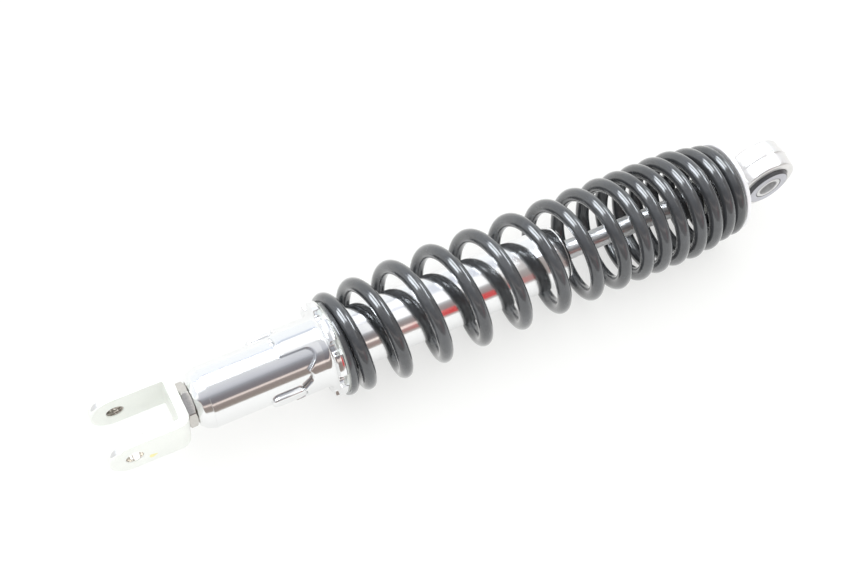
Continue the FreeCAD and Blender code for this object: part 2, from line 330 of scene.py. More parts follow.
def place(obj, body, material, slot, *nodes):
    """Gives a finished piece its material and its body, and hides the CAD nodes it stands for."""
    obj.data.materials.clear()
    obj.data.materials.append(material)
    if body:
        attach(obj, body)
    if nodes:
        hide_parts(*nodes)
    return obj


# ---------------------------------------------------------------- materials

class Nodes:
    """Short names for building a shader."""

    def __init__(self, tree):
        self.tree = tree

    def add(self, kind, **settings):
        node = self.tree.nodes.new(kind)
        for key, value in settings.items():
            setattr(node, key, value)
        return node

    def join(self, source, target):
        self.tree.links.new(source, target)


def surface(name, color, metallic, rough, grain, bump, dark, spread=0.15, rough_spread=0.1,
            stretch=(1, 1, 1), coat=0.0, coat_rough=0.05, specular=0.5, ground=0.0):
    """A finish whose colour, roughness and height all vary.

    grain is the fine texture's scale, stretch draws it out along an axis, and spread is how far
    the colour moves towards its darker shade, dark times the colour, in broad patches. ground is
    how far fine grinding round the X axis smears reflections along it.
    """
    material = bpy.data.materials.new(name)
    material.use_nodes = True
    tree = material.node_tree
    n = Nodes(tree)
    shader = tree.nodes["Principled BSDF"]
    shader.inputs["Metallic"].default_value = metallic
    shader.inputs["Coat Weight"].default_value = coat
    shader.inputs["Coat Roughness"].default_value = coat_rough
    shader.inputs["Coat IOR"].default_value = 1.62
    shader.inputs["Specular IOR Level"].default_value = specular
    if ground:
        turned = n.add("ShaderNodeTangent", direction_type="RADIAL", axis="X")
        n.join(turned.outputs["Tangent"], shader.inputs["Tangent"])
        shader.inputs["Anisotropic"].default_value = ground
        shader.inputs["Anisotropic Rotation"].default_value = 0.25
    place_in = n.add("ShaderNodeTexCoord")
    scaled = n.add("ShaderNodeMapping")
    scaled.inputs["Scale"].default_value = stretch
    n.join(place_in.outputs["Object"], scaled.inputs["Vector"])

    def noise_of(scale, detail, vector):
        texture = n.add("ShaderNodeTexNoise")
        texture.inputs["Scale"].default_value = scale
        texture.inputs["Detail"].default_value = detail
        n.join(vector, texture.inputs["Vector"])
        return texture.outputs["Fac"]

    def weighed(value, weight):
        product = n.add("ShaderNodeMath", operation="MULTIPLY")
        product.inputs[1].default_value = weight
        n.join(value, product.inputs[0])
        return product.outputs[0]

    fine = noise_of(grain, 4, scaled.outputs["Vector"])
    broad = noise_of(45, 3, place_in.outputs["Object"])
    mixed = n.add("ShaderNodeMath", operation="ADD", use_clamp=True)
    n.join(weighed(fine, 0.35), mixed.inputs[0])
    n.join(weighed(broad, 0.75), mixed.inputs[1])

    tint = n.add("ShaderNodeValToRGB")
    darker, lighter = tint.color_ramp.elements
    darker.position = 0.5 - spread
    darker.color = (*(c * dark for c in color), 1)
    lighter.position = 0.5 + spread
    lighter.color = (*color, 1)
    n.join(mixed.outputs[0], tint.inputs["Fac"])
    n.join(tint.outputs["Color"], shader.inputs["Base Color"])

    polish = n.add("ShaderNodeMapRange")
    polish.inputs["To Min"].default_value = max(rough - rough_spread, 0.01)
    polish.inputs["To Max"].default_value = rough + rough_spread
    n.join(mixed.outputs[0], polish.inputs["Value"])
    n.join(polish.outputs["Result"], shader.inputs["Roughness"])

    relief = n.add("ShaderNodeBump")
    relief.inputs["Strength"].default_value = bump
    relief.inputs["Distance"].default_value = RELIEF
    n.join(fine, relief.inputs["Height"])
    n.join(relief.outputs["Normal"], shader.inputs["Normal"])
    return material


def plated(color, rough, bump):
    return dict(color=color, metallic=0.15, rough=rough, grain=1400, bump=bump, dark=0.92)


def chromed(rough, bump=0.004, stretch=(0.15, 1, 1), ground=0.0):
    return dict(color=(0.86, 0.865, 0.87), metallic=1.0, rough=rough, grain=2600, bump=bump,
                rough_spread=0.03, stretch=stretch, dark=0.96, ground=ground)


def metal(color, metallic, rough, grain, bump, dark, stretch=(1, 1, 1)):
    return dict(color=color, metallic=metallic, rough=rough, grain=grain, bump=bump, dark=dark,
                stretch=stretch)


def plain(color, rough, grain, bump, dark, specular=0.5):
    return dict(color=color, metallic=0.0, rough=rough, grain=grain, bump=bump, dark=dark,
                specular=specular)


def make_materials():
    """A finish for each of the record's material slots, and a few that vary one of them."""
    finishes = {
        "zinc_plate": plated((0.86, 0.88, 0.84), 0.40, 0.10),
        "seat_plate": plated((0.86, 0.86, 0.88), 0.36, 0.08),
        "nut_steel": metal((0.62, 0.60, 0.57), 1.0, 0.20, 1500, 0.08, 0.75, (0.2, 1, 1)),
        "machined_steel": metal((0.66, 0.66, 0.66), 0.6, 0.32, 1800, 0.10, 0.8, (1, 0.15, 1)),
        "chrome": chromed(0.10),
        "chrome_tube": chromed(0.13),
        "chrome_rod": chromed(0.34, 0.003, (1, 0.15, 0.15), 0.97),
        "sintered_iron": metal((0.33, 0.32, 0.31), 0.8, 0.55, 2500, 0.35, 0.6),
        "spring_steel": metal((0.40, 0.42, 0.48), 1.0, 0.30, 1500, 0.06, 0.75),
        "bronze": metal((0.62, 0.44, 0.22), 1.0, 0.35, 2200, 0.15, 0.7),
        "black_rubber": plain((0.030, 0.030, 0.032), 0.60, 1800, 0.25, 0.5),
        "grey_rubber": plain((0.050, 0.050, 0.056), 0.34, 1600, 0.12, 0.7, 0.8),
        # The paint's base colour is raised from near black to a dark grey: painted light standing in for
        # the camera's veiling glare.
        "black_paint": dict(plain((0.066, 0.070, 0.076), 0.22, 420, 0.035, 0.6, 0.25),
                            rough_spread=0.06, coat=1.0, coat_rough=0.09),
        "ptfe": plain((0.20, 0.15, 0.10), 0.55, 2000, 0.15, 0.7),
        "cast_aluminium": metal((0.76, 0.75, 0.74), 0.85, 0.30, 1100, 0.16, 0.9),
        "thread_steel": metal((0.52, 0.48, 0.43), 0.95, 0.24, 1600, 0.1, 0.6),
        # A light grey for the bush's face rings: a painted sheen, the floor's glancing reflection on black
        # rubber.
        "painted_sheen_rubber_face": plain((0.50, 0.50, 0.54), 0.45, 1600, 0.15, 0.7),
        "yellow_paint": plain((0.90, 0.84, 0.42), 0.45, 900, 0.2, 0.9),
    }
    return {name: surface(name, **finish) for name, finish in finishes.items()}


M = make_materials()


# ---------------------------------------------------------------- the fork end

def make_fork():
    """The bent plate with its rounded ears and drilled holes."""
    inside = FORK_OUT - PLATE
    bend, bridge = 5.5, BRIDGE_END - PLATE
    outline = rounded([
        (FORK_TIP, -FORK_OUT), (BRIDGE_END, -FORK_OUT, bend), (BRIDGE_END, FORK_OUT, bend),
        (FORK_TIP, FORK_OUT), (FORK_TIP, inside), (bridge, inside, 1), (bridge, -inside, 1),
        (FORK_TIP, -inside),
    ], 10)
    plate = extrude("clevis_bracket", outline, -FORK_HALF, FORK_HALF)
    ends = []
    steps = 48
    for i in range(steps + 1):
        a = math.radians(90 + 180 * i / steps)
        ends.append((FORK_HALF * math.cos(a), FORK_HALF * math.sin(a)))
    ends += [(BRIDGE_END + 2, -FORK_HALF), (BRIDGE_END + 2, FORK_HALF)]
    keep = extrude("keep", ends, -40, 40)
    keep.data.transform(Matrix.Rotation(math.radians(90), 4, "X"))
    carve(plate, keep, "INTERSECT")
    carve(plate, bar("hole", BOLT_HOLE_R, (0, -40, 0), (0, 40, 0)))
    carve(plate, bar("stud_hole", 6.0, (10, 0, 0), (40, 0, 0)))
    soften(plate, 0.55)
    place(plate, "damper_body", M["zinc_plate"], "zinc_plate", "clevis")


def make_far_thread():
    """The bolt thread in the far ear."""
    crest, wave_height, pitch = 3.75, 0.30, 1.25
    start, step, count = FORK_OUT - 0.5, 0.1, 36

    def thread(x, r, degrees):
        if r > LINER_R - 0.04:
            return r
        return r + wave_height * math.sin(math.radians(degrees) + 2 * math.pi * x / pitch)

    steps = [(start - step * i, crest) for i in range(count)]
    ear = lathe("ear_thread", [(steps[-1][0], LINER_R), (start, LINER_R)] + steps, 72, wave=thread)
    about_y(ear, 0)
    place(ear, "damper_body", M["thread_steel"], "zinc_plate")


def make_near_bore_shade():
    """A thin darker steel lining on the near ear's hole wall: painted shade inside the hole."""
    outer, inner = 0.5 - FORK_OUT, PLATE - 0.5 - FORK_OUT
    wall = LINER_R - 0.05
    bare = lathe("ear_bore", [(outer, wall), (outer, LINER_R), (inner, LINER_R), (inner, wall)], 72)
    about_y(bare, 0)
    # Darker steel colour on the hole wall: painted shade in the hole.
    place(bare, "damper_body", M["thread_steel"], "zinc_plate")


def make_tip_reflections():
    """A strip of darker steel colour on the rounded tip of each ear: a painted dark reflection."""
    columns = 16
    start, sweep, half_width = 18, 44, 1.5
    for name, side in (("painted_reflection_tip_near", -1), ("painted_reflection_tip_far", 1)):
        middle = side * (FORK_OUT - PLATE / 2)
        points = []
        for i in range(columns + 1):
            share = i / columns
            a = math.radians(start + sweep * share)
            reach = half_width * math.sin(math.pi * share) ** 0.6 + 0.05
            for across, lift in ((-1, -0.05), (-0.7, 0.035), (0.7, 0.035), (1, -0.05)):
                r = FORK_HALF + lift
                points.append((-r * math.sin(a), middle + across * reach, r * math.cos(a)))
        faces = []
        for i in range(columns):
            for j in range(3):
                a = 4 * i + j
                faces.append((a, a + 1, a + 5, a + 4))
            faces.append((4 * i + 3, 4 * i, 4 * i + 4, 4 * i + 7))
        faces += [(0, 1, 2, 3), tuple(4 * columns + j for j in (3, 2, 1, 0))]
        # Darker steel colour on the rounded tip: a painted dark reflection.
        place(mesh_from(name, points, faces), "damper_body", M["machined_steel"], "zinc_plate")


def make_paint_dot():
    """The inspector's dab of paint on the near ear: a low uneven dome."""
    x0, z0, radius = 8.0, -5.2, 1.5
    points = [(x0, -FORK_OUT - 0.25, z0)]
    count = 36
    levels = ((0.6, 0.22), (0.9, 0.12), (1.0, -0.1))
    for share, lift in levels:
        for j in range(count):
            a = 2 * math.pi * j / count
            r = radius * share * (1 + 0.18 * math.sin(3 * a + 1) + 0.08 * math.sin(7 * a))
            points.append((x0 + r * 1.25 * math.cos(a), -FORK_OUT - lift, z0 + r * math.sin(a)))
    faces = []
    for j in range(count):
        k = (j + 1) % count
        faces.append((0, 1 + j, 1 + k))
        for ring in range(len(levels) - 1):
            a, b = 1 + ring * count, 1 + (ring + 1) * count
            faces.append((a + j, b + j, b + k, a + k))
    faces.append(tuple(1 + (len(levels) - 1) * count + j for j in range(count)))
    place(mesh_from("paint_mark", points, faces), "damper_body", M["yellow_paint"], "zinc_plate")


# ---------------------------------------------------------------- the damper tube

def make_tube():
    """The chromed tube with its spun bottom and rolled top edge."""
    bore = TUBE_R - TUBE_WALL
    spun_end, mouth = 38.9, 10.5
    tube = lathe("damper_tube", [
        (TUBE_START, 8, 0.3), (TUBE_START, 10.8, 0.8), (35.0, 13.55, 1.5), (spun_end, 14.9, 0.15),
        (spun_end, TUBE_R, 0.1), (TUBE_END, TUBE_R, 3.4), (TUBE_END, mouth, 0.4),
        (TUBE_END - 1.6, mouth, 0.2), (TUBE_END - 1.6, bore, 1.9), (spun_end + 0.3, bore), (35.7, 12.25),
        (TUBE_START + TUBE_WALL, 9.4), (TUBE_START + TUBE_WALL, 8),
    ], 240)
    place(tube, "damper_body", M["chrome_tube"], "chrome", "outer_tube")


def make_lug(name, angle):
    """One pressed lug: an obround dome with two spot-weld dimples."""
    half = 3.5
    x0, x1 = LUG_START + half, LUG_END - half
    middle = (x0 + x1) / 2
    welds = (x0 + 0.8, x1 - 0.8)
    weld_depth, weld_spread = 0.55, 1.6
    count = 72
    # share of the outline and height over the tube, from the crown down to the tube
    levels = ((0.0, 2.42), (0.3, 2.42), (0.55, 2.40), (0.72, 2.36), (0.84, 2.22), (0.92, 1.95),
              (0.97, 1.5), (1.0, 0.9), (1.0, -0.6))
    rings = []
    for share, height in levels:
        ring = []
        for j in range(count):
            a = 2 * math.pi * j / count
            end = x1 if math.cos(a) >= 0 else x0
            x = middle + (end - middle) * (0.35 + 0.65 * share) + half * share * math.cos(a)
            y = half * share * math.sin(a)
            lift = height
            if height > 1:
                for weld in welds:
                    lift -= weld_depth * math.exp(-((x - weld) ** 2 + y * y) / weld_spread)
            ring.append(around(TUBE_R + lift, angle + math.degrees(y / TUBE_R), x))
        rings.append(ring)
    return loft(name, rings, closed_rings=False, caps=True, sharp=70)


def make_lugs():
    """Two lugs, half a turn apart. The first mesh stands for the CAD's pair."""
    for name, turn, nodes in (("stop_lug_near", 0, ("stop_lugs",)), ("stop_lug_far", 180, ())):
        place(make_lug(name, LUG_ANGLE + turn), "damper_body", M["chrome"], "chrome", *nodes)


# ---------------------------------------------------------------- the preload adjuster

def cam_edge(degrees):
    """x of the sleeve's stepped edge, at an angle from the lug's middle.

    Each seat is a round notch that fits the lug's end, followed by a straight ramp to the next.
    """
    u = (degrees + 90) % 180 - 90
    scale = math.radians(1) * (SLEEVE_IN + SLEEVE_OUT) / 2
    lip = 11.3 * scale
    ramp_start, ramp_slope = 3.09, 1.09

    def notch(seat, t):
        return seat - CAM_NOTCH_R + math.sqrt(CAM_NOTCH_R ** 2 - t * t)

    edge = SLEEVE_START
    for step in range(-2, 3):
        t = (u - CAM_ANGLE * step) * scale
        seat = LUG_END + 0.1 - CAM_RISE * step
        reach = CAM_NOTCH_R if step == -2 else lip
        if -reach < t <= ramp_start:
            edge = max(edge, notch(seat, t))
        elif ramp_start < t < CAM_ANGLE * scale:
            edge = max(edge, notch(seat, ramp_start) - ramp_slope * (t - ramp_start))
    return edge


def flange_radius(degrees):
    """The flange's outer radius, with its eight spanner notches."""
    off = (degrees - NOTCH_ANGLE + NOTCH_PITCH / 2) % NOTCH_PITCH - NOTCH_PITCH / 2
    t = abs(math.radians(off) * (FLANGE_R - 2)) / NOTCH_HALF
    if t >= 1:
        return FLANGE_R
    return FLANGE_R - NOTCH_DEPTH * (1 - t ** 5)


def adjuster_profile(edge, big):
    """(x, radius) points of the sleeve and flange where the cam is at edge and the flange is big."""
    fillet_x = FLANGE_BACK - FLANGE_FILLET
    face, bore_start = FLANGE_FACE, FLANGE_FACE - 0.8
    profile = [(edge + 0.07, SLEEVE_OUT - 0.07), (edge + 0.25, SLEEVE_OUT)]
    for s in (0.15, 0.35, 0.6, 0.8):
        profile.append((edge + 0.25 + (fillet_x - edge) * s, SLEEVE_OUT))
    for s in range(7):
        a = math.radians(-90 + 15 * s)
        r = SLEEVE_OUT + FLANGE_FILLET * (1 + math.sin(a))
        profile.append((fillet_x + FLANGE_FILLET * math.cos(a), min(r, big - 0.3)))
    profile += [
        (FLANGE_BACK, big - 0.35), (FLANGE_BACK + 0.1, big - 0.1), (FLANGE_BACK + 0.35, big),
        (face - 0.35, big), (face - 0.1, big - 0.1), (face, big - 0.35), (face, 19), (face, 16),
        (face - 0.3, 15.4), (bore_start, SLEEVE_IN),
    ]
    for s in (0.2, 0.45, 0.7):
        profile.append((bore_start + (edge + 0.25 - bore_start) * s, SLEEVE_IN))
    profile += [
        (edge + 0.25, SLEEVE_IN), (edge + 0.07, SLEEVE_IN + 0.07),
        (edge, SLEEVE_IN + 0.25), (edge, SLEEVE_OUT - 0.25),
    ]
    return profile


def make_adjuster():
    """The sleeve, its two five-step cams and its notched flange, in one mesh."""
    columns = 1080
    raw = [cam_edge(360 * j / columns - LUG_ANGLE) for j in range(columns)]
    rings = []
    for j in range(columns):
        degrees = 360 * j / columns
        edge = (raw[j - 1] + 2 * raw[j] + raw[(j + 1) % columns]) / 4
        profile = adjuster_profile(edge, flange_radius(degrees))
        rings.append([around(r, degrees, x) for x, r in profile])
    sleeve = loft("preload_sleeve", rings, sharp=34)
    place(sleeve, "adjuster_sleeve", M["chrome"], "chrome", "preload_adjuster")


# ---------------------------------------------------------------- the spring

def spring_stations():
    """(turns, x of the wire's middle) along the spring: the pitch closes up towards the eye."""
    tops = (106.6, 122.1, 142.3, 164.0, 185.6, 208.3, 228.7,
            245.7, 260.5, 271.7, 282.5, 293.2, 303.4, 313.2)
    first = [(-0.92, SPRING_START - 1.2), (-0.5, SPRING_START + 2.0)]
    last = [(13.5, SPRING_END - 9.6), (14, SPRING_END - 5.6), (14.75, SPRING_END - 0.5)]
    return first + list(enumerate(tops)) + last


def smooth_through(stations, t):
    """A monotone cubic through the stations."""
    n = len(stations)
    slopes = []
    for (t0, x0), (t1, x1) in zip(stations, stations[1:]):
        slopes.append((x1 - x0) / (t1 - t0))
    i = 0
    while i < n - 2 and t > stations[i + 1][0]:
        i += 1

    def tangent(k):
        if k in (0, n - 1):
            return slopes[0] if k == 0 else slopes[-1]
        return 2 * slopes[k - 1] * slopes[k] / (slopes[k - 1] + slopes[k])

    (t0, x0), (t1, x1) = stations[i:i + 2]
    h = t1 - t0
    s = min(max((t - t0) / h, 0), 1)
    return (
        (2 * s**3 - 3 * s**2 + 1) * x0 + (s**3 - 2 * s**2 + s) * h * tangent(i)
        + (3 * s**2 - 2 * s**3) * x1 + (s**3 - s**2) * h * tangent(i + 1)
    )


def wire_middle(stations, t):
    """The middle of the wire at t turns. The coils widen from both ends."""
    first, last = stations[0][0], stations[-1][0]
    flat_turns, widening_turns = 0.4, 2.8
    share = min(max((min(t - first, last - t) - flat_turns) / widening_turns, 0), 1)
    share = share * share * (3 - 2 * share)
    r = END_COIL_R + (COIL_R - END_COIL_R) * share
    return around(r, SPRING_PHASE + 360 * t, smooth_through(stations, t))


def make_spring_part(name, start, end, stations):
    """The wire between two turn counts, its end coils ground flat."""
    steps = round((end - start) * 120)
    count = 40
    tip_round, tip_turns, sample = 0.35, 0.008, 1e-3
    rings = []
    for i in range(steps + 1):
        t = start + (end - start) * i / steps
        here = wire_middle(stations, t)
        along = (wire_middle(stations, t + sample) - wire_middle(stations, t - sample)).normalized()
        out = Vector((0, here.y, here.z)).normalized()
        side = along.cross(out).normalized()
        out = side.cross(along)
        near_tip = min(t - stations[0][0], stations[-1][0] - t)
        r = WIRE_R - tip_round * max(0, 1 - near_tip / tip_turns) ** 2
        ring = []
        for j in range(count):
            a = 2 * math.pi * j / count
            p = here + (out * math.cos(a) + side * math.sin(a)) * r
            p.x = min(max(p.x, SPRING_START), SPRING_END)
            ring.append(p)
        rings.append(ring)
    return loft(name, rings, closed_rings=False, caps=True, sharp=50)


def make_spring():
    """Two meshes that meet end to end.

    The lower one is left without a body and the upper one goes with the damper body.
    """
    stations = spring_stations()
    lower = make_spring_part("coil_spring_lower", stations[0][0], SPLIT_TURN, stations)
    upper = make_spring_part("coil_spring_upper", SPLIT_TURN, stations[-1][0], stations)
    split = smooth_through(stations, SPLIT_TURN)
    place(lower, None, M["black_paint"], "black_paint", "main_spring")
    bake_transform(lower)
    place(upper, "damper_body", M["black_paint"], "black_paint", "main_spring")
    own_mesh(upper)


# ---------------------------------------------------------------- the eye end

def make_upper_seat():
    """The pressed disc with a rolled rim and a raised centre that locates the spring."""
    back = SEAT_BACK
    well, step, hole = SPRING_END - 6, SPRING_END - 2.4, 8.15
    seat = lathe("upper_seat_disc", [
        (SPRING_END, 16.6, 0.4), (SPRING_END, SEAT_R, 0.5), (back, SEAT_R, 0.9), (back, SEAT_R - 1.8, 0.3),
        (back - 0.4, SEAT_R - 2.3, 0.3), (back - 0.4, 15.2, 0.4), (back, 14.4, 0.3), (back, hole, 0.3),
        (well, hole, 0.3), (well, 10.2, 0.5), (step, 10.2, 0.3), (step, 16.0, 0.8),
    ], 160)
    place(seat, "upper_seat", M["seat_plate"], "zinc_plate", "upper_spring_seat")


def merge(first, others):
    """Moves the other objects' meshes into the first object."""
    work = bmesh.new()
    for piece in (first, *others):
        work.from_mesh(piece.data)
    work.to_mesh(first.data)
    work.free()
    for piece in others:
        bpy.data.objects.remove(piece)


def make_bore_chamfer(side):
    """The cutter for the chamfer at one end of the eye's bore; side is -1 or 1 along Y."""
    start, end = EYE_HALF - 0.5, EYE_HALF + 0.2
    cone = lathe("chamfer", [(start, 0.5), (start, RUBBER_R), (end, RUBBER_R + 0.7), (end, 0.5)])
    about_y(cone, EYE_X)
    if side < 0:
        turn = Matrix.Translation((2 * EYE_X * MM, 0, 0)) @ Matrix.Rotation(math.pi, 4, "Z")
        cone.data.transform(turn)
    return cone


def make_eye():
    """The cast eye and its neck, with cast fillets and a parting line."""
    neck_end, core = EYE_X - 10, 1
    ring = lathe("ring", [
        (-EYE_HALF, core), (-EYE_HALF, EYE_FACE_R, 0.9), (0, EYE_R - 0.25, 20),
        (EYE_HALF, EYE_FACE_R, 0.9), (EYE_HALF, core),
    ], 128)
    body = about_y(ring, EYE_X)
    web = [(SEAT_BACK, -7.0), (EYE_X, -7.4), (EYE_X, 7.4), (SEAT_BACK, 7.0)]
    merge(body, [
        extrude("web", web, -9.0, 9.0),
        lathe("neck", [
            (SEAT_BACK, core), (SEAT_BACK, 11.3, 0.5), (SEAT_BACK + 3.5, 8.6, 1), (neck_end, 7.6),
            (neck_end, core),
        ]),
        lathe("spigot", [
            (EYE_NECK_START, core), (EYE_NECK_START, 8.0, 0.4), (neck_end - 2, 8.0), (neck_end - 2, core),
        ]),
        bar("parting", EYE_R, (EYE_X, -0.4, 0), (EYE_X, 0.4, 0), 128),
        bar("fill", 3, (EYE_NECK_START + 0.2, 0, 0), (neck_end, 0, 0)),
    ])
    step = body.modifiers.new("cast", "REMESH")
    step.mode = "VOXEL"
    step.voxel_size = 0.33 * MM
    step = body.modifiers.new("fair", "SMOOTH")
    step.factor = 0.5
    step.iterations = 6
    freeze(body)
    body.name = "eye_casting"
    carve(body, bar("bore", RUBBER_R, (EYE_X, -30, 0), (EYE_X, 30, 0), 128))
    for side in (-1, 1):
        carve(body, make_bore_chamfer(side))
    carve(body, bar("rod_hole", ROD_R, (300, 0, 0), (ROD_END, 0, 0)))
    shade(body.data, 40)
    place(body, "rod_assembly", M["cast_aluminium"], "cast_aluminium", "upper_eye")


def make_bush():
    """The rubber bush with a flat face on each side, each face carrying a light grey ring: a painted
    sheen.
    """
    half = cad("rubber_bush", 1, 1)
    sleeve_hole = 7.05
    side = [
        (EYE_HALF - 0.2, RUBBER_R - 0.02), (EYE_HALF + 0.1, RUBBER_R - 0.3, 0.2),
        (half, RUBBER_FACE_R, 0.4), (half, sleeve_hole, 0.2),
    ]
    mirrored = [(-point[0], *point[1:]) for point in reversed(side)]
    bush = lathe("eye_bush_rubber", mirrored + side, 128)
    about_y(bush, EYE_X)
    place(bush, "rod_assembly", M["grey_rubber"], "grey_rubber", "rubber_bush")
    # The two face rings are light grey: a painted sheen of the floor's reflection on the black rubber.
    inner, depth, proud = 7.5, 0.6, 0.04
    for name, end in (("bush_face_sheen_near", -1), ("bush_face_sheen_far", 1)):
        low, high = end * (half - depth), end * (half + proud)
        face = lathe(name, [
            (low, inner), (low, RUBBER_FACE_R - 0.6), (high, RUBBER_FACE_R - 0.3), (high, inner),
        ], 128)
        about_y(face, EYE_X)
        place(face, "rod_assembly", M["painted_sheen_rubber_face"], "grey_rubber")


def make_bolt_sleeve():
    """The steel sleeve in the bush."""
    half = cad("eye_sleeve", 1, 1)
    bore, outside = 5.1, 7.0
    sleeve = lathe("eye_bolt_tube", [
        (-half, bore, 0.45), (-half, outside, 0.35), (half, outside, 0.35), (half, bore, 0.45),
    ], 128)
    about_y(sleeve, EYE_X)
    place(sleeve, "eye_bolt_sleeve", M["machined_steel"], "machined_steel", "eye_sleeve")


# ---------------------------------------------------------------- rod, nuts and small parts

def make_rod():
    """The chromed rod with its piston seat and rounded shoulders."""
    seat_r, seat_end = 4, 206
    rod = lathe("damper_rod", [
        (ROD_START, 0.05), (ROD_START, 3.3, 0.2), (ROD_START + 0.7, seat_r, 0.2), (seat_end, seat_r),
        (seat_end, ROD_R, 0.3), (ROD_END - 0.6, ROD_R, 0.2), (ROD_END, ROD_R - 0.6, 0.1),
        (ROD_END, 0.05),
    ], 96)
    place(rod, "rod_assembly", M["chrome_rod"], "chrome", "piston_rod")


def make_nuts():
    """The fork's lock nut, the eye's lock nut and the nut that holds the piston."""
    nut = hexagon("fork_lock_nut", 19.0, BRIDGE_END, TUBE_START, 6.0, 24.0)
    place(nut, "damper_body", M["nut_steel"], "nut_steel", "clevis_lock_nut")
    nut = hexagon("rod_end_nut", 17.0, ROD_NUT_START, EYE_NECK_START, ROD_R)
    place(nut, "rod_assembly", M["nut_steel"], "nut_steel", "eye_lock_nut")
    nut = hexagon("piston_bolt_nut", 13.0, 187.6, 194.4, 4.0)
    place(nut, "rod_assembly", M["nut_steel"], "nut_steel", "piston_nut")


def make_wiper():
    """The rubber wiper at the tube's mouth."""
    start, end, bore = 225.4, 229.6, ROD_R + 0.04
    wiper = lathe("rod_wiper", [
        (start, bore), (start, 7.48), (start + 2, 7.48, 0.3), (start + 2.6, 7.1, 0.3), (end, 5.9, 0.2),
        (end, bore),
    ], 96)
    place(wiper, "damper_body", M["black_rubber"], "black_rubber", "dust_wiper")


def make_bump_rubber():
    """The ribbed bump rubber under the eye, and the cup it sits in."""
    start, end, bore = 299.8, 311.8, ROD_R + 0.02
    rubber = lathe("bump_rubber", [
        (start, bore), (start, 7.2, 1), (302.9, 8.8, 0.8), (304.2, 8.0, 0.7), (305.8, 9.4, 0.8),
        (308.0, 8.6, 0.7), (309.6, 9.35, 0.5), (end, 9.35), (end, bore),
    ], 96)
    place(rubber, "rod_assembly", M["black_rubber"], "black_rubber", "bump_stop")
    lip, cup_r = end - 1.2, 10.0
    cup = lathe("bump_rubber_cup", [
        (end, bore), (end, 9.4), (lip, 9.4, 0.2), (lip, cup_r, 0.2), (ROD_NUT_START, cup_r, 0.7),
        (ROD_NUT_START, bore),
    ], 96)
    place(cup, "rod_assembly", M["zinc_plate"], "zinc_plate", "bump_stop_cup")


def dress_hidden_parts():
    """Gives the CAD nodes that keep their shape their slot's finish. The plug is plated."""
    slots = {s["node"]: s["material_slot"] for s in frame["record"]["subparts"]}
    for name, node in frame["nodes"].items():
        if node.hide_render:
            continue
        finish = "zinc_plate" if name == "base_plug" else slots[name]
        node.data.materials.clear()
        node.data.materials.append(M[finish])


# ---------------------------------------------------------------- studio

def make_floor():
    """A plain pale floor, lit a little from below like a light table."""
    size = 40000
    corners = [(-size, -size, 0), (size, -size, 0), (size, size, 0), (-size, size, 0)]
    floor = mesh_from("floor", corners, [(0, 1, 2, 3)])
    floor.location.z = FLOOR_Z
    material = bpy.data.materials.new("floor_paper")
    material.use_nodes = True
    shader = material.node_tree.nodes["Principled BSDF"]
    shader.inputs["Base Color"].default_value = (0.36, 0.362, 0.355, 1)
    shader.inputs["Roughness"].default_value = 0.85
    shader.inputs["Emission Color"].default_value = (1, 1, 0.99, 1)
    shader.inputs["Emission Strength"].default_value = 0.6
    floor.data.materials.append(material)


def ramp(n, source, stops, low, high):
    """A colour ramp over a value from low to high; stops are (value, colour)."""
    spread = n.add("ShaderNodeMapRange")
    spread.inputs["From Min"].default_value = low
    spread.inputs["From Max"].default_value = high
    n.join(source, spread.inputs["Value"])
    node = n.add("ShaderNodeValToRGB")
    n.join(spread.outputs["Result"], node.inputs["Fac"])
    elements = node.color_ramp.elements
    while len(elements) < len(stops):
        elements.new(0.5)
    for element, (value, color) in zip(elements, stops):
        element.position = (value - low) / (high - low)
        element.color = (*(c / GLARE for c in color), 1)
    return node.outputs["Color"]


def combine(n, kind, first, second, share=1):
    """Two colours mixed; share is a number or a socket."""
    both = n.add("ShaderNodeMix", data_type="RGBA", blend_type=kind)
    if isinstance(share, (int, float)):
        both.inputs["Factor"].default_value = share
    else:
        n.join(share, both.inputs["Factor"])
    n.join(first, both.inputs["A"])
    n.join(second, both.inputs["B"])
    return both.outputs["Result"]


def fade(n, source, first, second, low, high):
    """The first colour, turning smoothly into the second as the source goes from low to high."""
    share = n.add("ShaderNodeMapRange", interpolation_type="SMOOTHSTEP")
    share.inputs["From Min"].default_value = low
    share.inputs["From Max"].default_value = high
    n.join(source, share.inputs["Value"])
    return combine(n, "MIX", first, second, share.outputs["Result"])


def grey(value):
    return (value, value, value)


def place_in_sky(n):
    """The angle about X from +Z towards -Y, the share along X, and the height of a direction."""
    spot = n.add("ShaderNodeTexCoord")
    split = n.add("ShaderNodeSeparateXYZ")
    n.join(spot.outputs["Generated"], split.inputs[0])
    flip = n.add("ShaderNodeMath", operation="MULTIPLY")
    flip.inputs[1].default_value = -1
    n.join(split.outputs["Y"], flip.inputs[0])
    turn = n.add("ShaderNodeMath", operation="ARCTAN2")
    n.join(flip.outputs[0], turn.inputs[0])
    n.join(split.outputs["Z"], turn.inputs[1])
    degrees = n.add("ShaderNodeMath", operation="MULTIPLY")
    degrees.inputs[1].default_value = math.degrees(1)
    n.join(turn.outputs[0], degrees.inputs[0])
    return degrees.outputs[0], split.outputs["X"], split.outputs["Z"]


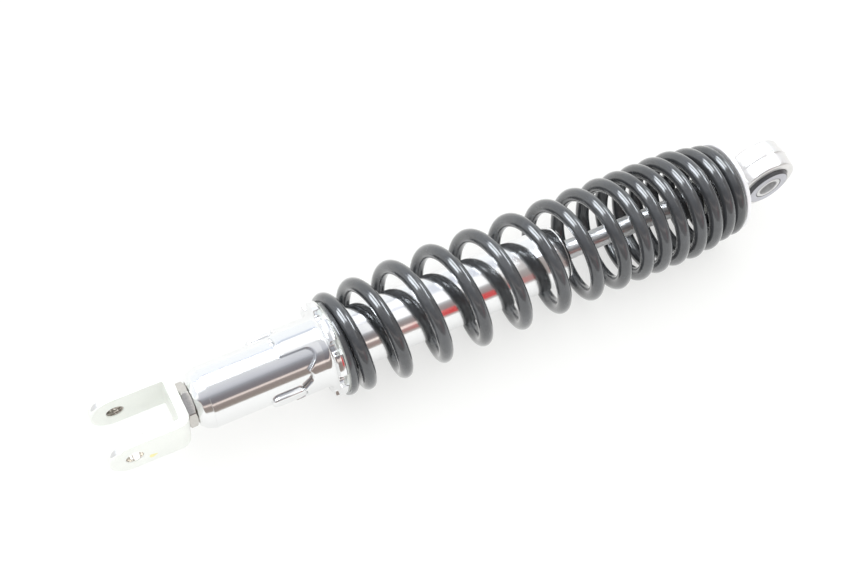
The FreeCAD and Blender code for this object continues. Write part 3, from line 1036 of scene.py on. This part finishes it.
def make_walls(n, angle, along):
    """The dim room that the chrome reflects: four stretches along X, each a ramp round X."""
    pale, white, red, wall = (1.10, 1.13, 1.15), grey(1.3), (0.74, 0.06, 0.065), (0.42, 0.38, 0.36)
    seam, copper, bright = (0.66, 0.72, 0.84), (1.00, 0.86, 0.80), (1.25, 1.14, 1.06)
    haze, cloud, blue = (0.90, 0.93, 0.98), (0.92, 0.94, 1.04), (0.80, 0.84, 0.93)
    near_fork = ramp(n, angle, (
        (-64, pale), (-55, (1.02, 1.06, 1.12)), (-53.5, seam), (-49.5, seam), (-47, white), (-12, white),
        (-6, (0.80, 0.81, 0.83)), (6, (0.73, 0.74, 0.78)), (18, (0.66, 0.67, 0.72)),
        (25, (0.54, 0.55, 0.60)), (30, (0.36, 0.37, 0.40)), (40, (0.25, 0.24, 0.26)),
        (57, (0.19, 0.17, 0.18)), (59, copper), (64, copper), (66, (0.30, 0.25, 0.23)),
        (88, (0.32, 0.27, 0.24)), (94, (0.80, 0.78, 0.74)), (104, pale),
    ), -180, 180)
    middle = ramp(n, angle, (
        (-60, pale), (-53.5, haze), (-49.5, haze), (-46, white), (-20, white), (-14, cloud), (-8, cloud),
        (-5, white), (26, white), (31, (0.52, 0.52, 0.54)), (38, (0.36, 0.33, 0.32)),
        (50, (0.31, 0.26, 0.25)), (56, (0.50, 0.42, 0.40)), (58, bright), (65, bright),
        (68, (0.46, 0.36, 0.34)), (78, (0.36, 0.27, 0.25)), (86, (0.46, 0.41, 0.38)),
        (94, (0.88, 0.84, 0.80)), (104, pale),
    ), -180, 180)
    right = ramp(n, angle, (
        (-60, pale), (-50, (0.92, 0.95, 1.0)), (-42, blue), (-20, blue), (-8, white), (26, white),
        (31, (0.62, 0.62, 0.63)), (40, (0.42, 0.38, 0.38)), (56, (0.34, 0.24, 0.24)), (61, red),
        (79, red), (84, (0.50, 0.40, 0.38)), (92, (0.85, 0.80, 0.76)), (104, pale),
    ), -180, 180)
    far = ramp(n, angle, (
        (-60, pale), (-40, pale), (-25, wall), (80, wall), (100, pale),
    ), -180, 180)
    walls = fade(n, along, near_fork, middle, 0.215, 0.245)
    walls = fade(n, along, walls, right, 0.295, 0.33)
    return fade(n, along, walls, far, 0.42, 0.50)


def make_lamps(n, angle, along):
    """Two strip lamps that run along X and are cut into panes."""
    glow = (GLARE * 0.88, GLARE * 0.94, GLARE)
    dark, full = grey(0), grey(GLARE)
    left_lamp = ramp(n, angle, ((-48, dark), (-45, glow), (-14, glow), (-10, dark)), -180, 180)
    left_panes = ramp(n, along, (
        (-0.80, dark), (-0.76, full), (-0.42, full), (-0.38, dark),
        (-0.24, dark), (-0.20, full), (0.06, full), (0.10, dark),
    ), -1, 1)
    right_lamp = ramp(n, angle, ((-38, dark), (-32, glow), (2, glow), (8, dark)), -180, 180)
    right_panes = ramp(n, along, ((0.52, dark), (0.55, full), (0.70, full), (0.74, dark)), -1, 1)
    left = combine(n, "MULTIPLY", left_lamp, left_panes)
    right = combine(n, "MULTIPLY", right_lamp, right_panes)
    return left, right


def make_sky():
    """White light on everything, with dark walls and bright lamps that only reflections see."""
    world = bpy.data.worlds.new("studio")
    bpy.context.scene.world = world
    world.use_nodes = True
    n = Nodes(world.node_tree)
    angle, along, height = place_in_sky(n)
    seen = make_walls(n, angle, along)
    for lamp in make_lamps(n, angle, along):
        seen = combine(n, "ADD", seen, lamp)

    level, zenith = 0.97, 1.50
    light = n.add("ShaderNodeMapRange")
    light.inputs["To Min"].default_value = level / GLARE
    light.inputs["To Max"].default_value = zenith / GLARE
    n.join(height, light.inputs["Value"])
    path = n.add("ShaderNodeLightPath")
    mixed = combine(n, "MIX", light.outputs["Result"], seen, path.outputs["Is Glossy Ray"])
    back = world.node_tree.nodes["Background"]
    n.join(mixed, back.inputs["Color"])
    back.inputs["Strength"].default_value = GLARE


def make_camera():
    """A camera above the fork end that looks down on the middle of the shock."""
    look_at = Vector((160.7, 9.56, 0.0))
    distance = 657.23
    azimuth, elevation, roll = -127.66, 59.50, 11.76
    data = bpy.data.cameras.new("camera")
    data.sensor_width = 36
    data.lens = 56.4
    data.clip_start = 0.01
    camera = bpy.data.objects.new("camera", data)
    bpy.context.scene.collection.objects.link(camera)
    place_at = Matrix.Translation(look_at * MM)
    turn = Matrix.Rotation(math.radians(azimuth + 90), 4, "Z")
    tilt = Matrix.Rotation(math.radians(90 - elevation), 4, "X")
    bank = Matrix.Rotation(math.radians(roll), 4, "Z")
    camera.matrix_world = place_at @ turn @ tilt @ bank @ Matrix.Translation((0, 0, distance * MM))
    bpy.context.scene.camera = camera


make_fork()
make_far_thread()
make_near_bore_shade()
make_tip_reflections()
make_paint_dot()
make_tube()
make_lugs()
make_adjuster()
make_spring()
make_upper_seat()
make_eye()
make_bush()
make_bolt_sleeve()
make_rod()
make_nuts()
make_wiper()
make_bump_rubber()
dress_hidden_parts()
make_floor()
make_sky()
make_camera()

view = bpy.context.scene.view_settings
view.view_transform = "Standard"
view.look = "None"
